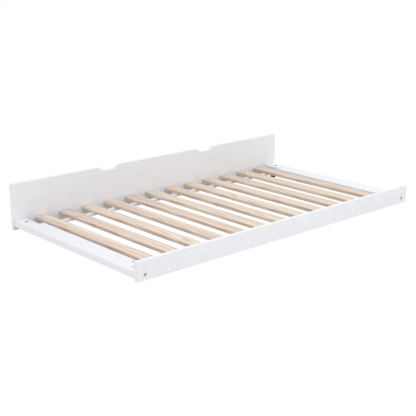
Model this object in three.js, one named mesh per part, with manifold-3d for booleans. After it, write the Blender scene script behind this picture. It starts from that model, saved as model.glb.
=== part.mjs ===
// A trundle bed: a low slatted frame on four fixed wheels that rolls out from under a bed.
// X runs along the bed, -Y is the side it pulls out to, +Z is up, and the floor is Z = 0. Millimetres.
import * as THREE from 'three';
import { mergeVertices } from 'three/addons/utils/BufferGeometryUtils.js';
import Module from 'manifold-3d';

// Overall frame
const LENGTH = 1960;
const DEPTH = 1072;
const FRAME_CLEARANCE = 30;
const GAP = 0.3;
const EDGE_CHAMFER = 2;
const CORNER_CHAMFER = 3;

// Long boards
const PANEL_THICKNESS = 20;
const PANEL_DROP = 8;
const PANEL_TOP = 271;
const RAIL_THICKNESS = 20;
const RAIL_HEIGHT = 96;

// Finger notches in the top edge of the front panel
const NOTCH_OFFSET = 360;
const NOTCH_FLOOR = 56;
const NOTCH_SHOULDER = 52;
const NOTCH_DEPTH = 22;
const NOTCH_STEPS = 8;

// Flat end boards, with a rebate in each inner corner that lets the battens pass
const END_BOARD_WIDTH = 100;
const END_BOARD_THICKNESS = 33;
const END_BOARD_INSET = 5;
const END_BOARD_LIFT = 11;
const REBATE_WIDTH = 26;
const REBATE_LENGTH = 130;

// Battens under the slats
const BATTEN_WIDTH = 21;
const BATTEN_THICKNESS = 13;
const BATTEN_Y = 410.5;
const BATTEN_TOP = 56;

// Slats
const SLAT_COUNT = 12;
const SLAT_PITCH = 147.7;
const SLAT_WIDTH = 71.6;
const SLAT_LENGTH = 1022;

// Corner bolts and their barrel nuts
const BOLT_INSET = 46;
const BOLT_RADIUS = 3;
const BOLT_TIP_CHAMFER = 1;
const BOLT_HEAD_RADIUS = 7.5;
const BOLT_HEAD_THICKNESS = 2.4;
const BOLT_HEAD_CHAMFER = 0.6;
const BOLT_HEAD_PROUD = 1.5;
const BOLT_REACH = 84;
const BORE_ALLOWANCE = 4;
const SOCKET_RADIUS = 2.9;
const SOCKET_DEPTH = 1.6;
const NUT_DISTANCE = 76;
const NUT_RADIUS = 7.2;
const NUT_LENGTH = 16;
const NUT_SLOT = 1.6;
const NUT_ALLOWANCE = 1;

// Dowels
const DOWEL_RADIUS = 4;
const CORNER_DOWEL_OFFSETS = [-14, 36];
const CORNER_DOWEL_LENGTH = 40;
const BATTEN_DOWEL_RADIUS = 3;
const BATTEN_DOWEL_LENGTH = 30;
const DOWEL_DEPTH_IN_FACE = 12;

// Wheels
const WHEEL_RADIUS = 18;
const WHEEL_WIDTH = 14;
const WHEEL_FACE_DEPTH = 0.5;
const WHEEL_CHAMFER = 1.5;
const WHEEL_HUB_WALL = 3;
const WHEEL_INSET_X = 86;
const WHEEL_INSET_Y = 89;
const AXLE_RADIUS = 2.5;
const AXLE_HEAD_RADIUS = 4;
const AXLE_HEAD_THICKNESS = 1.2;
const AXLE_HEAD_CHAMFER = 0.5;
const AXLE_PLAY = 0.4;
const CHEEK_THICKNESS = 2;
const CHEEK_PLAY = 0.8;
const CHEEK_WIDTH = 22;
const CHEEK_END_RADIUS = 6;
const PLATE_LENGTH = 52;
const PLATE_WIDTH = 52;
const PLATE_OFFSET = 15;
const PLATE_THICKNESS = 2;
const PLATE_CORNER = 5;
const PLATE_CHAMFER = 0.4;

// Sides of the round shapes, and the length of a tool that cuts right through a part
const ROD_SIDES = 12;
const NUT_SIDES = 16;
const BOLT_SIDES = 18;
const SEAT_SIDES = 20;
const WHEEL_SIDES = 24;
const CHEEK_END_SEGMENTS = 4;
const THROUGH = 100;

// Heights and faces that follow from the sizes above
const END_BOARD_BOTTOM = FRAME_CLEARANCE + END_BOARD_LIFT;
const END_BOARD_TOP = END_BOARD_BOTTOM + END_BOARD_THICKNESS;
const END_BOARD_MIDDLE = END_BOARD_BOTTOM + END_BOARD_THICKNESS / 2;
const END_BOARD_X = LENGTH / 2 - END_BOARD_INSET - END_BOARD_WIDTH / 2;
const REBATE_X = END_BOARD_X - END_BOARD_WIDTH / 2 + REBATE_WIDTH;
const BATTEN_MIDDLE = BATTEN_TOP - BATTEN_THICKNESS / 2;
const PANEL_INNER_Y = DEPTH / 2 - PANEL_THICKNESS;
const RAIL_INNER_Y = DEPTH / 2 - RAIL_THICKNESS;
const BOLT_X = LENGTH / 2 - BOLT_INSET;

const wasm = await Module();
wasm.setup();

// Materials

const WHITE = { color: 0xeeeef0, roughness: 0.45, metalness: 0 };
const PINE = { color: 0xe2cbb4, roughness: 0.65, metalness: 0 };
const BRASS = { color: 0xb9965a, roughness: 0.35, metalness: 1 };
const ZINC = { color: 0xa9adb0, roughness: 0.4, metalness: 1 };
const BEECH = { color: 0xcfa878, roughness: 0.7, metalness: 0 };
const BLACK = { color: 0x1d1d1e, roughness: 0.5, metalness: 0 };

const bed = new THREE.Group();

function add(name, geometry, finish, x, y, z) {
  const mesh = new THREE.Mesh(geometry, new THREE.MeshStandardMaterial(finish));
  mesh.name = name;
  mesh.position.set(x, y, z);
  bed.add(mesh);
}

// Solids: joining and cutting closed geometries

function solidFrom(geometry) {
  const loose = geometry.index ? geometry.toNonIndexed() : geometry;
  const bare = new THREE.BufferGeometry();
  bare.setAttribute('position', loose.getAttribute('position'));
  const merged = mergeVertices(bare, 1e-4);
  const mesh = new wasm.Mesh({
    numProp: 3,
    vertProperties: merged.getAttribute('position').array,
    triVerts: new Uint32Array(merged.index.array),
  });
  return new wasm.Manifold(mesh);
}

function geometryFrom(solid) {
  const mesh = solid.getMesh();
  const geometry = new THREE.BufferGeometry();
  geometry.setAttribute('position', new THREE.BufferAttribute(mesh.vertProperties, 3));
  geometry.setIndex(new THREE.BufferAttribute(mesh.triVerts, 1));
  return geometry;
}

function cut(geometry, tools) {
  let solid = solidFrom(geometry);
  for (const tool of tools) {
    solid = solid.subtract(solidFrom(tool));
  }
  return geometryFrom(solid);
}

function join(geometries) {
  const [first, ...others] = geometries.map(solidFrom);
  return geometryFrom(others.reduce((whole, piece) => whole.add(piece), first));
}

// Basic shapes

// The points of a rectangle with its corners cut off, anticlockwise from the top right corner.
function clippedCorners(width, height, corner) {
  const x = width / 2;
  const y = height / 2;
  const points = [
    [x, y - corner],
    [x - corner, y],
    [corner - x, y],
    [-x, y - corner],
    [-x, corner - y],
    [corner - x, -y],
    [x - corner, -y],
    [x, corner - y],
  ];
  return points.map(([u, v]) => new THREE.Vector2(u, v));
}

// An outline given thickness, centred on Z = 0, with its edges chamfered.
function slab(points, thickness, chamfer) {
  const geometry = new THREE.ExtrudeGeometry(new THREE.Shape(points), {
    depth: thickness - 2 * chamfer,
    bevelEnabled: true,
    bevelThickness: chamfer,
    bevelSize: chamfer,
    bevelOffset: -chamfer,
    bevelSegments: 1,
  });
  return geometry.translate(0, 0, chamfer - thickness / 2);
}

function board(lengthX, lengthY, thickness) {
  return slab(clippedCorners(lengthX, lengthY, CORNER_CHAMFER), thickness, EDGE_CHAMFER);
}

function rod(radius, length, axis, sides = ROD_SIDES) {
  const geometry = new THREE.CylinderGeometry(radius, radius, length, sides);
  if (axis === 'x') {
    geometry.rotateZ(Math.PI / 2);
  }
  if (axis === 'z') {
    geometry.rotateX(Math.PI / 2);
  }
  return geometry;
}

// Holes that the long boards and the end boards share. `side` is -1 for the front and +1 for the rear.

function boltHoles(faceY, side) {
  const holes = [];
  const seat = BOLT_HEAD_THICKNESS - BOLT_HEAD_PROUD + GAP;
  for (const x of [-BOLT_X, BOLT_X]) {
    const bore = rod(BOLT_RADIUS + GAP, THROUGH, 'y');
    const headSeat = rod(BOLT_HEAD_RADIUS + GAP, 2 * seat, 'y', SEAT_SIDES);
    holes.push(bore.translate(x, faceY, END_BOARD_MIDDLE));
    holes.push(headSeat.translate(x, side * DEPTH / 2, END_BOARD_MIDDLE));
  }
  return holes;
}

function cornerDowelHoles(innerY) {
  const holes = [];
  for (const end of [-1, 1]) {
    for (const offset of CORNER_DOWEL_OFFSETS) {
      const x = end * (END_BOARD_X + offset);
      const hole = rod(DOWEL_RADIUS + GAP, 2 * (DOWEL_DEPTH_IN_FACE + GAP), 'y');
      holes.push(hole.translate(x, innerY, END_BOARD_MIDDLE));
    }
  }
  return holes;
}

function longBoardHoles(innerY, side) {
  return [...boltHoles(side * innerY, side), ...cornerDowelHoles(side * innerY)];
}

// The front panel's outline, with a smooth-shouldered notch on each side of the middle.

function notchPoints(centre, top) {
  const points = [];
  const half = NOTCH_FLOOR / 2 + NOTCH_SHOULDER;
  for (let i = 0; i <= NOTCH_STEPS; i += 1) {
    const t = i / NOTCH_STEPS;
    const drop = NOTCH_DEPTH * (1 - Math.cos(Math.PI * t)) / 2;
    points.push(new THREE.Vector2(centre + half - NOTCH_SHOULDER * t, top - drop));
  }
  const mirrored = points.map((p) => new THREE.Vector2(2 * centre - p.x, p.y)).reverse();
  return [...points, ...mirrored];
}

function panelOutline(height) {
  const corners = clippedCorners(LENGTH, height, CORNER_CHAMFER);
  return [
    ...corners.slice(0, 2),
    ...notchPoints(NOTCH_OFFSET, height / 2),
    ...notchPoints(-NOTCH_OFFSET, height / 2),
    ...corners.slice(2),
  ];
}

function addFrontPanel() {
  const bottom = FRAME_CLEARANCE - PANEL_DROP;
  const height = PANEL_TOP - bottom;
  const blank = slab(panelOutline(height), PANEL_THICKNESS, EDGE_CHAMFER);
  blank.rotateX(Math.PI / 2);
  blank.translate(0, -(DEPTH - PANEL_THICKNESS) / 2, bottom + height / 2);
  add('front_panel', cut(blank, longBoardHoles(PANEL_INNER_Y, -1)), WHITE, 0, 0, 0);
}

function addRearRail() {
  const blank = board(LENGTH, RAIL_HEIGHT, RAIL_THICKNESS);
  blank.rotateX(Math.PI / 2);
  blank.translate(0, (DEPTH - RAIL_THICKNESS) / 2, FRAME_CLEARANCE + RAIL_HEIGHT / 2);
  add('rear_rail', cut(blank, longBoardHoles(RAIL_INNER_Y, 1)), WHITE, 0, 0, 0);
}

// The end boards lie flat and tie the front panel to the rear rail.

function endBoardBoltHoles(x) {
  const holes = [];
  const nutHoleDepth = END_BOARD_THICKNESS / 2 + NUT_LENGTH / 2 + NUT_ALLOWANCE;
  const boreLength = 2 * (BOLT_REACH + BORE_ALLOWANCE - RAIL_THICKNESS);
  for (const side of [-1, 1]) {
    const nutHole = rod(NUT_RADIUS + GAP, 2 * nutHoleDepth, 'z', NUT_SIDES);
    const bore = rod(BOLT_RADIUS + GAP, boreLength, 'y');
    holes.push(nutHole.translate(x, side * (DEPTH / 2 - NUT_DISTANCE), END_BOARD_TOP));
    holes.push(bore.translate(x, side * RAIL_INNER_Y, END_BOARD_MIDDLE));
  }
  return holes;
}

function endBoardDowelHoles(end) {
  const holes = [];
  const depth = CORNER_DOWEL_LENGTH - DOWEL_DEPTH_IN_FACE + GAP;
  for (const side of [-1, 1]) {
    for (const offset of CORNER_DOWEL_OFFSETS) {
      const x = end * (END_BOARD_X + offset);
      holes.push(rod(DOWEL_RADIUS + GAP, 2 * depth, 'y').translate(x, side * RAIL_INNER_Y, END_BOARD_MIDDLE));
    }
  }
  return holes;
}

function rebates(end) {
  return [-1, 1].map((side) => {
    const block = new THREE.BoxGeometry(2 * REBATE_WIDTH, 2 * REBATE_LENGTH, THROUGH);
    return block.translate(end * (REBATE_X - REBATE_WIDTH), side * RAIL_INNER_Y, END_BOARD_MIDDLE);
  });
}

function battenDowelHoles(end, depth) {
  return [-1, 1].map((side) => {
    const hole = rod(BATTEN_DOWEL_RADIUS + GAP, 2 * depth, 'x');
    return hole.translate(end * REBATE_X, side * BATTEN_Y, BATTEN_MIDDLE);
  });
}

function addEndBoard(name, end) {
  const blank = board(END_BOARD_WIDTH, 2 * (RAIL_INNER_Y - GAP), END_BOARD_THICKNESS);
  blank.translate(end * END_BOARD_X, 0, END_BOARD_MIDDLE);
  const tools = [
    ...rebates(end),
    ...endBoardBoltHoles(end * BOLT_X),
    ...endBoardDowelHoles(end),
    ...battenDowelHoles(end, DOWEL_DEPTH_IN_FACE + GAP),
  ];
  add(name, cut(blank, tools), WHITE, 0, 0, 0);
}

// The battens run from end board to end board, and the slats rest across them.

function addBatten(name, side) {
  const blank = board(2 * (REBATE_X - GAP), BATTEN_WIDTH, BATTEN_THICKNESS);
  blank.translate(0, side * BATTEN_Y, BATTEN_MIDDLE);
  const depth = BATTEN_DOWEL_LENGTH - DOWEL_DEPTH_IN_FACE + GAP;
  const holes = [-1, 1].map((end) => {
    const hole = rod(BATTEN_DOWEL_RADIUS + GAP, 2 * depth, 'x');
    return hole.translate(end * REBATE_X, side * BATTEN_Y, BATTEN_MIDDLE);
  });
  add(name, cut(blank, holes), WHITE, 0, 0, 0);
}

function addSlats() {
  const bottom = BATTEN_TOP + GAP;
  const thickness = END_BOARD_TOP - bottom;
  for (let i = 0; i < SLAT_COUNT; i += 1) {
    const x = (i - (SLAT_COUNT - 1) / 2) * SLAT_PITCH;
    const name = `slat_${String(i + 1).padStart(2, '0')}`;
    add(name, board(SLAT_WIDTH, SLAT_LENGTH, thickness), PINE, x, 0, bottom + thickness / 2);
  }
}

// A bolt with a flat round head and a hexagon socket, lying along Y with its head at the negative end.

function boltGeometry() {
  const tip = BOLT_REACH + BOLT_HEAD_PROUD;
  const profile = [
    [0, 0],
    [BOLT_HEAD_RADIUS - BOLT_HEAD_CHAMFER, 0],
    [BOLT_HEAD_RADIUS, BOLT_HEAD_CHAMFER],
    [BOLT_HEAD_RADIUS, BOLT_HEAD_THICKNESS],
    [BOLT_RADIUS, BOLT_HEAD_THICKNESS],
    [BOLT_RADIUS, tip - BOLT_TIP_CHAMFER],
    [BOLT_RADIUS - BOLT_TIP_CHAMFER, tip],
    [0, tip],
  ].map(([radius, y]) => new THREE.Vector2(radius, y));
  const body = new THREE.LatheGeometry(profile, BOLT_SIDES);
  return cut(body, [rod(SOCKET_RADIUS, 2 * SOCKET_DEPTH, 'y', 6)]);
}

function addBoltAndNut(corner, end, side) {
  const x = end * BOLT_X;
  const bolt = boltGeometry();
  if (side > 0) {
    bolt.rotateZ(Math.PI);
  }
  add(`${corner}_bolt`, bolt, BRASS, x, side * (DEPTH / 2 + BOLT_HEAD_PROUD), END_BOARD_MIDDLE);
  const slot = new THREE.BoxGeometry(4 * NUT_RADIUS, NUT_SLOT, 2 * NUT_SLOT).translate(0, 0, NUT_LENGTH / 2);
  const bore = rod(BOLT_RADIUS + GAP, 4 * NUT_RADIUS, 'y');
  const nut = cut(rod(NUT_RADIUS, NUT_LENGTH, 'z', NUT_SIDES), [slot, bore]);
  add(`${corner}_barrel_nut`, nut, ZINC, x, side * (DEPTH / 2 - NUT_DISTANCE), END_BOARD_MIDDLE);
}

function addCornerDowels(corner, end, side) {
  const middle = RAIL_INNER_Y + DOWEL_DEPTH_IN_FACE - CORNER_DOWEL_LENGTH / 2;
  CORNER_DOWEL_OFFSETS.forEach((offset, i) => {
    const name = `${corner}_dowel_${i + 1}`;
    const x = end * (END_BOARD_X + offset);
    add(name, rod(DOWEL_RADIUS, CORNER_DOWEL_LENGTH, 'y'), BEECH, x, side * middle, END_BOARD_MIDDLE);
  });
}

function addBattenDowel(corner, end, side) {
  const dowel = rod(BATTEN_DOWEL_RADIUS, BATTEN_DOWEL_LENGTH, 'x');
  const x = end * (REBATE_X + DOWEL_DEPTH_IN_FACE - BATTEN_DOWEL_LENGTH / 2);
  add(`${corner}_batten_dowel`, dowel, BEECH, x, side * BATTEN_Y, BATTEN_MIDDLE);
}

// Each fixed wheel: a pressed bracket screwed up under an end board, an axle pin and a wheel.
// The plate reaches outwards past the fork, because the rebate leaves no wood above the wheel.

function bracketGeometry(end) {
  const top = END_BOARD_BOTTOM - GAP;
  const cheekX = WHEEL_WIDTH / 2 + CHEEK_PLAY + CHEEK_THICKNESS / 2;
  const plate = slab(clippedCorners(PLATE_WIDTH, PLATE_LENGTH, PLATE_CORNER), PLATE_THICKNESS, PLATE_CHAMFER);
  const pieces = [plate.translate(end * PLATE_OFFSET, 0, top - PLATE_THICKNESS / 2)];
  for (const side of [-1, 1]) {
    const outline = new THREE.Shape();
    outline.moveTo(CHEEK_WIDTH / 2, top - PLATE_THICKNESS / 2);
    outline.lineTo(-CHEEK_WIDTH / 2, top - PLATE_THICKNESS / 2);
    outline.absarc(0, WHEEL_RADIUS, CHEEK_END_RADIUS, Math.PI, 2 * Math.PI);
    const cheek = new THREE.ExtrudeGeometry(outline, {
      depth: CHEEK_THICKNESS,
      bevelEnabled: false,
      curveSegments: CHEEK_END_SEGMENTS,
    });
    cheek.rotateX(Math.PI / 2);
    cheek.rotateZ(Math.PI / 2);
    cheek.translate(side * cheekX - CHEEK_THICKNESS / 2, 0, 0);
    pieces.push(cheek);
  }
  const hole = rod(AXLE_RADIUS + GAP, THROUGH, 'x').translate(0, 0, WHEEL_RADIUS);
  return cut(join(pieces), [hole]);
}

function axleGeometry() {
  const half = WHEEL_WIDTH / 2 + CHEEK_PLAY + CHEEK_THICKNESS + GAP;
  const profile = [
    [0, -half - AXLE_HEAD_THICKNESS],
    [AXLE_HEAD_RADIUS - AXLE_HEAD_CHAMFER, -half - AXLE_HEAD_THICKNESS],
    [AXLE_HEAD_RADIUS, -half],
    [AXLE_RADIUS, -half],
    [AXLE_RADIUS, half],
    [AXLE_HEAD_RADIUS, half],
    [AXLE_HEAD_RADIUS - AXLE_HEAD_CHAMFER, half + AXLE_HEAD_THICKNESS],
    [0, half + AXLE_HEAD_THICKNESS],
  ].map(([radius, y]) => new THREE.Vector2(radius, y));
  return new THREE.LatheGeometry(profile, ROD_SIDES).rotateZ(Math.PI / 2);
}

// The wheel's section is a ring: a tread with chamfered shoulders, and faces cut back from the hub.

function wheelGeometry() {
  const half = WHEEL_WIDTH / 2;
  const face = half - WHEEL_FACE_DEPTH;
  const bore = AXLE_RADIUS + AXLE_PLAY;
  const hub = bore + WHEEL_HUB_WALL;
  const profile = [
    [bore, -half],
    [hub, -half],
    [hub, -face],
    [WHEEL_RADIUS - WHEEL_CHAMFER, -face],
    [WHEEL_RADIUS, WHEEL_CHAMFER - face],
    [WHEEL_RADIUS, face - WHEEL_CHAMFER],
    [WHEEL_RADIUS - WHEEL_CHAMFER, face],
    [hub, face],
    [hub, half],
    [bore, half],
    [bore, -half],
  ].map(([radius, y]) => new THREE.Vector2(radius, y));
  return new THREE.LatheGeometry(profile, WHEEL_SIDES).rotateZ(Math.PI / 2);
}

function addWheel(corner, end, side) {
  const x = end * (LENGTH / 2 - WHEEL_INSET_X);
  const y = side * (DEPTH / 2 - WHEEL_INSET_Y);
  add(`${corner}_wheel_bracket`, bracketGeometry(end), BLACK, x, y, 0);
  add(`${corner}_wheel_axle`, axleGeometry(), ZINC, x, y, WHEEL_RADIUS);
  add(`${corner}_wheel`, wheelGeometry(), BLACK, x, y, WHEEL_RADIUS);
}

addFrontPanel();
addRearRail();
addEndBoard('left_end_board', -1);
addEndBoard('right_end_board', 1);
addBatten('front_batten', -1);
addBatten('rear_batten', 1);
addSlats();
for (const [sideName, side] of [['front', -1], ['rear', 1]]) {
  for (const [endName, end] of [['left', -1], ['right', 1]]) {
    const corner = `${sideName}_${endName}`;
    addBoltAndNut(corner, end, side);
    addCornerDowels(corner, end, side);
    addBattenDowel(corner, end, side);
    addWheel(corner, end, side);
  }
}

export default bed;
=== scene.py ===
"""Builds the visible pieces, the finishes and the studio of a slatted trundle bed."""

import math

import bmesh
import bpy
from bpy.props import FloatProperty, FloatVectorProperty, IntProperty, PointerProperty
from mathutils import Matrix, Vector


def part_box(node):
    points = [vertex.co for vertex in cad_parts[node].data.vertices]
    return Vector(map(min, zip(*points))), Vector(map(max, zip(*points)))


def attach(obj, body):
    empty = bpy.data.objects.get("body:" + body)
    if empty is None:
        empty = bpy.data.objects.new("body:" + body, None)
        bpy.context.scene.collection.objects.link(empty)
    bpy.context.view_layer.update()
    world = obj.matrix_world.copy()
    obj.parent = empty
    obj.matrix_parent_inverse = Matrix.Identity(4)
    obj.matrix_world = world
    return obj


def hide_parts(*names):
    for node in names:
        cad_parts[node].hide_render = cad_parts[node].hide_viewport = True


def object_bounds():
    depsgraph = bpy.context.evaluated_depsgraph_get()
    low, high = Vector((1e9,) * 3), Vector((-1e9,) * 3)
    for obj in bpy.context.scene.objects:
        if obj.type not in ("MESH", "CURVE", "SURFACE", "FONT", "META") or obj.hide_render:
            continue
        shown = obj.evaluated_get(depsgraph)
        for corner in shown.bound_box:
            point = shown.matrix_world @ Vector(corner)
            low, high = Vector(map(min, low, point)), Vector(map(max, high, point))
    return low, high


bl_info = {
    "name": "Trundle Bed",
    "version": (1, 0, 0),
    "blender": (4, 5, 0),
    "location": "View3D > Sidebar > Trundle Bed",
    "description": "Builds the boards, slats, fixings, wheels and studio of a slatted trundle bed",
    "category": "Object",
}

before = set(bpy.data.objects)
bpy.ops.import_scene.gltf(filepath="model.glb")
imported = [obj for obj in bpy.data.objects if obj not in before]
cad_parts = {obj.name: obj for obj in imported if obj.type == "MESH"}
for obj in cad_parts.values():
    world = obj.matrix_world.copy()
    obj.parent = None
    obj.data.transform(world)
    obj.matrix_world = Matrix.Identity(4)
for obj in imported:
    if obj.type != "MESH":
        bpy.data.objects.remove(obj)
cad_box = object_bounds()

BODY = "bed_frame"
CORNERS = ("front_left", "front_right", "rear_left", "rear_right")
SLATS = sorted(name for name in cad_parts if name.startswith("slat_"))
MM = 0.001
GAP = 0.3 * MM
SOCKETS = {float: "NodeSocketFloat", int: "NodeSocketInt"}

BOLT_BORE = 3.3 * MM
BOLT_SEAT_DEPTH = 1.2 * MM
BOLT_HEAD_SLACK = 0.4 * MM
HOLE_EDGE = 0.4 * MM
NUT_HOLE_EDGE = 0.5 * MM
OVERCUT = 10 * MM
BRACKET_SHEET = 2.0 * MM
FLOOR_HALF_WIDTH = 30.0
FLOOR_DROP = 0.2 * MM
# Painted shade: the share of the floor's colour kept under the bed, standing for the bed's shadow.
FLOOR_SHADE_UNDER_BED = 0.85
SKY_COLOUR = (0.98, 0.99, 1.0, 1.0)


# Sizes and colours that a user would change


def length(name, description, default):
    """A size in metres, shown with its unit."""
    return FloatProperty(name=name, description=description, default=default, min=0.0, unit="LENGTH")


def colour(name, description, default):
    """A linear colour without alpha."""
    return FloatVectorProperty(
        name=name, description=description, default=default, size=3, min=0.0, max=1.0, subtype="COLOR"
    )


class TRUNDLE_PG_sizes(bpy.types.PropertyGroup):
    """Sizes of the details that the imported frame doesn't state."""

    board_edge: length("Board edge", "Radius of the lacquered boards' edges", 3.2 * MM)
    slat_edge: length("Slat edge", "Radius of the slats' long edges", 2.6 * MM)
    notch_offset: length("Notch offset", "From the panel's middle to a notch's middle", 360 * MM)
    notch_floor: length("Notch floor", "Length of a notch's flat bottom", 56 * MM)
    notch_shoulder: length("Notch shoulder", "Length of a notch's curved side", 52 * MM)
    notch_depth: length("Notch depth", "From the panel's top edge to a notch's bottom", 22 * MM)
    batten_edge: length("Batten edge", "Radius of the battens' edges", 1.2 * MM)
    rebate_length: length("Rebate length", "From an end board's end to the step inside", 130 * MM)
    nut_radius: length("Nut hole", "Radius of a barrel nut's hole", 7.5 * MM)
    screw_head: length("Screw head", "Diameter of a slat screw's head", 6.6 * MM)
    spokes: IntProperty(name="Spokes", description="Ribs between a wheel's hub and tread", default=6, min=3)


class TRUNDLE_PG_finishes(bpy.types.PropertyGroup):
    """Base colours of the finishes."""

    lacquer: colour("Lacquer", "White lacquer on the boards", (0.905, 0.903, 0.918))
    # Greyer edge colour: partly thin lacquer, partly painted shade on the rounded edges.
    primer: colour("Primer", "Where the lacquer is thin, along the edges", (0.80, 0.80, 0.80))
    pine_light: colour("Early wood", "Light wood between the growth rings", (0.87, 0.755, 0.63))
    pine_dark: colour("Late wood", "Darker wood of the growth rings", (0.54, 0.37, 0.245))
    pine_pink: colour("Heartwood", "Pinkish wood that some slats show", (0.83, 0.675, 0.605))
    beech: colour("Beech", "Dowels", (0.62, 0.42, 0.25))
    brass: colour("Yellow plating", "Corner bolts and slat screws", (0.62, 0.45, 0.20))
    zinc: colour("Zinc plating", "Barrel nuts, axles and bracket screws", (0.55, 0.57, 0.59))
    nylon: colour("Nylon", "Black wheels", (0.018, 0.018, 0.019))
    powder: colour("Powder coat", "Black wheel brackets", (0.022, 0.022, 0.024))
    floor: colour("Floor", "Plain pale floor", (0.80, 0.80, 0.80))


class TRUNDLE_PG_studio(bpy.types.PropertyGroup):
    """Camera and light."""

    lens: FloatProperty(name="Lens", description="Focal length", default=75.9, min=1.0, unit="CAMERA")
    tilt: FloatProperty(name="Tilt", description="Camera's angle from straight down",
                        default=math.radians(73.84), unit="ROTATION")
    turn: FloatProperty(name="Turn", description="Camera's turn about the vertical",
                        default=math.radians(137.97), unit="ROTATION")
    place: FloatVectorProperty(name="Place", description="Camera's place", size=3, unit="LENGTH",
                               default=(3.149, 3.405, 1.409))
    sky: FloatProperty(name="Sky", description="Strength of the even light", default=0.955, min=0.0)
    key: FloatProperty(name="Key", description="Power of the large lamp overhead", default=6.0, min=0.0)
    glow: FloatProperty(name="Floor glow", description="Light from the floor itself", default=0.04, min=0.0)
    fill: FloatProperty(name="Fill", description="Power of the lamp facing the panel", default=4.5, min=0.0)


# Shader nodes


def fill(tree, made, inputs):
    """Links or sets a node's inputs, given by name or number."""
    for key, value in inputs.items():
        if isinstance(value, bpy.types.NodeSocket):
            tree.links.new(value, made.inputs[key])
        else:
            made.inputs[key].default_value = value


def node(tree, kind, inputs=None, **settings):
    """Adds a node, sets its properties, and fills its inputs."""
    made = tree.nodes.new(kind)
    for key, value in settings.items():
        setattr(made, key, value)
    fill(tree, made, inputs or {})
    return made


def maths(tree, operation, first, second=0.0, third=0.0, clamp=False):
    """The result of a Math node."""
    inputs = {0: first, 1: second, 2: third}
    return node(tree, "ShaderNodeMath", inputs, operation=operation, use_clamp=clamp).outputs[0]


def stretched(tree, vector, scale):
    """A vector scaled on each axis."""
    return node(tree, "ShaderNodeMapping", {"Vector": vector, "Scale": scale}).outputs[0]


def noise(tree, vector, scale, detail=4.0, roughness=0.5, distortion=0.0):
    """A noise value from 0 to 1."""
    inputs = {"Vector": vector, "Scale": scale, "Detail": detail}
    inputs |= {"Roughness": roughness, "Distortion": distortion}
    return node(tree, "ShaderNodeTexNoise", inputs).outputs["Fac"]


def remap(tree, value, low, high, to_low=0.0, to_high=1.0):
    """A value taken from one range to another, with soft ends."""
    inputs = {"Value": value, "From Min": low, "From Max": high, "To Min": to_low, "To Max": to_high}
    return node(tree, "ShaderNodeMapRange", inputs, interpolation_type="SMOOTHSTEP").outputs["Result"]


def mix(tree, share, first, second):
    """Two colours mixed."""
    made = node(tree, "ShaderNodeMix", {0: share}, data_type="RGBA")
    colours = {6: first, 7: second}
    fill(tree, made, {i: (*c, 1.0) if isinstance(c, tuple) else c for i, c in colours.items()})
    return made.outputs[2]


def new_tree(name, kind, inputs, outputs):
    """An empty tree with named sockets, each given by a default number or by its kind.

    Returns the tree, its input node and its output node.
    """
    tree = bpy.data.node_groups.new(name, kind)
    for way, sockets in (("INPUT", inputs), ("OUTPUT", outputs)):
        for label, given in sockets.items():
            number = SOCKETS.get(type(given))
            made = tree.interface.new_socket(label, in_out=way, socket_type=number or f"NodeSocket{given}")
            if number:
                made.default_value = given
    return tree, tree.nodes.new("NodeGroupInput"), tree.nodes.new("NodeGroupOutput")


def new_group(name, inputs, outputs):
    """A shader group that reads a vector and the given inputs, and puts out values."""
    inputs = {"Vector": "Vector", **inputs}
    return new_tree(name, "ShaderNodeTree", inputs, dict.fromkeys(outputs, "Float"))


def wood_grain_group():
    """Growth rings, fibres and small knots in wood whose grain runs along Y."""
    tree, given, out = new_group(
        "wood_grain", {"Tone": 0.5, "Rings": 90.0}, ("Ring", "Fibre", "Streak", "Knot")
    )
    apart = maths(tree, "MULTIPLY", given.outputs["Tone"], 7.3)
    offset = node(tree, "ShaderNodeCombineXYZ", {"X": apart, "Y": apart, "Z": apart}).outputs[0]
    both = {0: given.outputs["Vector"], 1: offset}
    place = node(tree, "ShaderNodeVectorMath", both, operation="ADD").outputs[0]
    drift = noise(tree, stretched(tree, place, (9.0, 1.3, 9.0)), 1.0, 2.0)
    split = node(tree, "ShaderNodeSeparateXYZ", {0: place}).outputs
    across = maths(tree, "ADD", split["X"], maths(tree, "MULTIPLY", split["Z"], 0.35))
    bent = maths(tree, "ADD", across, maths(tree, "MULTIPLY", drift, 0.16))
    phase = maths(tree, "MULTIPLY", bent, maths(tree, "MULTIPLY", given.outputs["Rings"], 2 * math.pi))
    wave = maths(tree, "MULTIPLY_ADD", maths(tree, "SINE", phase), 0.5, 0.5)
    cells = {"Vector": stretched(tree, place, (13.0, 4.6, 1.0)), "Scale": 1.0}
    cells = node(tree, "ShaderNodeTexVoronoi", cells).outputs
    knot = remap(tree, cells["Distance"], 0.03, 0.09, 1.0, 0.0)
    chance = node(tree, "ShaderNodeSeparateColor", {0: cells["Color"]}).outputs[0]
    fill(tree, out, {
        "Ring": maths(tree, "POWER", wave, 2.2),
        "Fibre": noise(tree, stretched(tree, place, (620.0, 9.0, 620.0)), 1.0, 3.0, 0.62),
        "Streak": noise(tree, stretched(tree, place, (26.0, 0.9, 26.0)), 1.0, 3.0, 0.55),
        "Knot": maths(tree, "MULTIPLY", knot, maths(tree, "GREATER_THAN", chance, 0.88)),
    })
    return tree


def fine_surface_group():
    """The fine unevenness of a coating or a moulding: a height, and a slow change of tone."""
    tree, given, out = new_group("fine_surface", {"Grain": 900.0}, ("Height", "Tone"))
    vector, grain = given.outputs["Vector"], given.outputs["Grain"]
    fine = noise(tree, vector, grain, 2.0, 0.55)
    broad = noise(tree, vector, maths(tree, "MULTIPLY", grain, 0.16), 2.0)
    tone = noise(tree, vector, 3.1, 5.0, 0.6)
    fill(tree, out, {
        "Height": maths(tree, "MULTIPLY_ADD", broad, 0.6, fine),
        "Tone": remap(tree, tone, 0.3, 0.7),
    })
    return tree


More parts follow.
